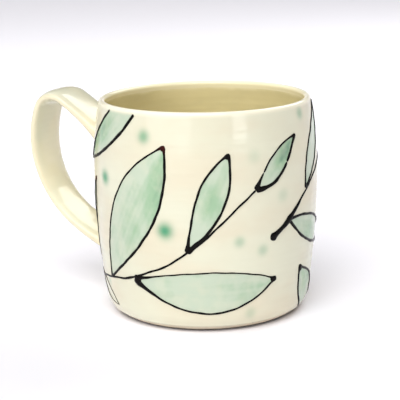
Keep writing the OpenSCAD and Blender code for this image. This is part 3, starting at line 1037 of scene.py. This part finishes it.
def build_lines(name, stem, leaves, node, seed, material, pools=(), red_tips=()):
    """All the beads of one sprig: its stem, and the lines and pools of each leaf."""
    random = np.random.default_rng(seed)
    beads = [stem_bead(stem, STEM_W, pools, random)] if stem else []
    red = []
    for index, shape in enumerate(leaves):
        beads += leaf_beads(shape, random)
        if index in red_tips:
            angle = math.radians(shape["tip"][0])
            red.append((BELLY_R * math.sin(angle), -BELLY_R * math.cos(angle), shape["tip"][1]))
    points, faces, start = [], [], 0
    for rings in beads:
        count, size = rings.shape[:2]
        points.append(rings.reshape(-1, 3))
        faces += joined_rings(count, size, start)
        faces.append([start + k for k in range(size)])
        faces.append([start + (count - 1) * size + k for k in range(size)])
        start += count * size
    points = np.concatenate(points)
    piece = make_piece(name, points, faces, [node], material)
    iron = np.zeros(len(points))
    for tip in red:
        iron = np.maximum(iron, np.exp(-((np.linalg.norm(points - tip, axis=1) / RED_MM) ** 2)))
    add_attribute(piece, "iron", iron)


# ---------------------------------------------------------------- the studio

# The camera's place and aim, in mm and degrees
CAMERA_AZIMUTH = 25
CAMERA_DISTANCE = 515.2
CAMERA_HEIGHT = 167.2
CAMERA_TURN = 25.286
CAMERA_PITCH = 13.42
CAMERA_ROLL = 1.21
CAMERA_VIEW = 17.81
WORLD_LIGHT = 0.01

# The table, in metres
TABLE_R = 3.2
SWEEP_R = 0.35
BACKDROP_H = 0.6
SHEET_T = 0.02
TABLE_STEPS = 96
SWEEP_POINTS = 13

# The height that every light is aimed at and how far off the sky hangs, in metres
AIM_H = 0.05
SKY_DISTANCE = 2


def build_camera():
    """Looks at the cup from in front, to the right of it and above it."""
    camera = bpy.data.objects.new("camera", bpy.data.cameras.new("camera"))
    bpy.context.scene.collection.objects.link(camera)
    camera.data.angle = math.radians(CAMERA_VIEW)
    azimuth = math.radians(CAMERA_AZIMUTH)
    place = (
        CAMERA_DISTANCE * math.sin(azimuth) * MM,
        -CAMERA_DISTANCE * math.cos(azimuth) * MM,
        CAMERA_HEIGHT * MM,
    )
    turn = Matrix.Rotation(math.radians(CAMERA_TURN), 4, "Z")
    tilt = Matrix.Rotation(math.radians(90 - CAMERA_PITCH), 4, "X")
    roll = Matrix.Rotation(math.radians(-CAMERA_ROLL), 4, "Z")
    camera.matrix_world = Matrix.Translation(place) @ turn @ tilt @ roll
    bpy.context.scene.camera = camera


def build_floor():
    """A round white table whose rim sweeps up into a low white backdrop all round."""
    edge = TABLE_R + SWEEP_R
    turns = np.radians(np.linspace(0, 90, SWEEP_POINTS))
    sweep = [(TABLE_R + SWEEP_R * math.sin(t), SWEEP_R * (1 - math.cos(t))) for t in turns]
    behind = [(edge, BACKDROP_H), (edge + SHEET_T, BACKDROP_H), (edge + SHEET_T, -SHEET_T)]
    points, faces = lathe(np.array([(0, 0), *sweep, *behind, (0, -SHEET_T)]), TABLE_STEPS)
    mesh = bpy.data.meshes.new("table")
    mesh.from_pydata(points.tolist(), [], faces)
    mesh.shade_smooth()
    mesh.set_sharp_from_angle(angle=SHARP_EDGE)
    looks = {"Base_Color": TABLE_WHITE, "Roughness": 0.9, "Specular_IOR_Level": 0.1}
    mesh.materials.append(Shader("table_white", **looks).material)
    table = bpy.data.objects.new("table", mesh)
    bpy.context.scene.collection.objects.link(table)


def hang(lamp, azimuth, elevation, distance, power):
    """Puts a light where it shines at the cup. Azimuth is from the camera's side, to the right,
    and distance is in metres."""
    lamp.energy = power
    light = bpy.data.objects.new(lamp.name, lamp)
    bpy.context.scene.collection.objects.link(light)
    turn = Matrix.Rotation(math.radians(azimuth + CAMERA_AZIMUTH), 4, "Z")
    tilt = Matrix.Rotation(math.radians(90 - elevation), 4, "X")
    aim = Matrix.Translation((0, 0, AIM_H))
    light.matrix_world = aim @ turn @ tilt @ Matrix.Translation((0, 0, distance))


def softbox(name, azimuth, elevation, distance, width, height, power):
    """Light from a flat panel near the cup."""
    lamp = bpy.data.lights.new(name, "AREA")
    lamp.shape = "RECTANGLE"
    lamp.size = width
    lamp.size_y = height
    hang(lamp, azimuth, elevation, distance, power)


def daylight(name, azimuth, elevation, spread, power):
    """Light from far away, which falls on the whole table alike, from a disc of sky."""
    lamp = bpy.data.lights.new(name, "SUN")
    lamp.angle = math.radians(spread)
    hang(lamp, azimuth, elevation, SKY_DISTANCE, power)


def build_studio():
    """A bright white table in soft daylight from the front and the upper left, with softboxes
    behind the cup that throw a faint shadow to either side."""
    scene = bpy.context.scene
    scene.view_settings.view_transform = "Standard"
    world = bpy.data.worlds.new("studio")
    world.use_nodes = True
    background = world.node_tree.nodes["Background"]
    background.inputs["Color"].default_value = (1, 1, 1, 1)
    background.inputs["Strength"].default_value = WORLD_LIGHT
    scene.world = world

    # Azimuth, elevation, spread and power. A softbox has its distance, width and height instead
    # of a spread.
    daylight("front_sky", -5, 50, 50, 2.03)
    daylight("upper_left_sky", -60, 65, 50, 0.8)
    softbox("low_left", -38, 24, 1.1, 1, 1, 4.2)
    softbox("back_left", -140, 40, 1.2, 0.7, 0.7, 1.2)
    softbox("back_right", 140, 40, 1.2, 0.7, 0.7, 5.6)
    softbox("window", 36, 9, 0.9, 0.22, 0.16, 0.34)


# ---------------------------------------------------------------- the mug


def build_mug():
    """Every piece of the mug. Pools are (index of a stem's place, width, reach) and red tips
    are the indexes of leaves whose tip is iron red."""
    build_clay()
    build_outer_glaze()
    build_liner()
    build_strap()
    slip = black_slip()
    build_lines(
        "front_lines", FRONT_STEM, FRONT_LEAVES, "front_sprig", 1, slip,
        pools=[(3, 1.1, 3)], red_tips=(0, 2),
    )
    build_lines(
        "right_lines", RIGHT_STEM, RIGHT_LEAVES, "right_sprig", 2, slip,
        pools=[(0, 3.2, 2.8), (2, 2.8, 6.5)],
    )
    build_lines(
        "back_lines", BACK_STEM, BACK_LEAVES, "back_sprig", 3, slip,
        pools=[(0, 2.4, 2.2), (2, 1.5, 3)],
    )
    build_lines("loose_lines", [], LOOSE_LEAVES, "loose_leaves", 4, slip)


build_mug()
build_camera()
build_floor()
build_studio()
